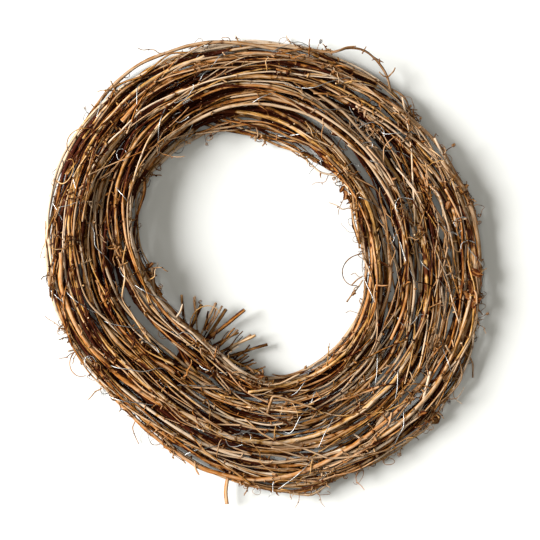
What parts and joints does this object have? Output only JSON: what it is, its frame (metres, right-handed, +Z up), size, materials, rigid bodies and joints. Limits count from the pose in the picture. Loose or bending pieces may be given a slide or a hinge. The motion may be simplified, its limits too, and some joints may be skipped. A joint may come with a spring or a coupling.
{
  "type": "grapevine garland",
  "caption": "Long grapevine garland coiled into a flat ring: thin woody stems bound into a loose rope by a spiral of fine wire.",
  "frame": {"origin": "middle of the coil's footprint, on the surface it rests on", "axes": "+Z up; the coil lies flat in X and Y, and the splayed end of the garland points into the ring from -X -Y"},
  "size_m": [0.4396, 0.4654, 0.0467],
  "materials": {
    "bark_brown": "dry brown bark, finely ridged, matt",
    "bark_tan": "dry tan bark, finely ridged, slight sheen",
    "bark_dark": "dry dark bark, finely ridged, matt",
    "bark_red": "dry reddish bark, finely ridged, matt",
    "wire_steel": "thin galvanised binding wire, dull"
  },
  "bodies": {
    "root": {"vine_01": "bark_brown", "vine_02": "bark_tan", "vine_03": "bark_dark", "vine_04": "bark_red", "vine_05": "bark_brown", "vine_06": "bark_tan", "vine_07": "bark_dark", "vine_08": "bark_red", "vine_09": "bark_brown", "vine_10": "bark_tan", "vine_11": "bark_dark", "vine_12": "bark_red", "vine_13": "bark_brown", "vine_14": "bark_tan", "vine_15": "bark_dark", "vine_16": "bark_red", "vine_17": "bark_brown", "vine_18": "bark_tan", "vine_19": "bark_dark", "vine_20": "bark_red", "vine_21": "bark_brown", "vine_22": "bark_tan", "vine_23": "bark_dark", "vine_24": "bark_red", "vine_25": "bark_brown", "vine_26": "bark_tan", "vine_27": "bark_dark", "vine_28": "bark_red", "vine_29": "bark_brown", "vine_30": "bark_tan", "vine_31": "bark_dark", "vine_32": "bark_red", "vine_33": "bark_brown", "vine_34": "bark_tan", "vine_35": "bark_dark", "vine_36": "bark_red", "vine_37": "bark_brown", "vine_38": "bark_tan", "side_shoot": "bark_dark", "cut_stub": "bark_red", "wire_1": "wire_steel", "wire_2": "wire_steel", "wire_3": "wire_steel", "wire_4": "wire_steel"}
  },
  "joints": []
}
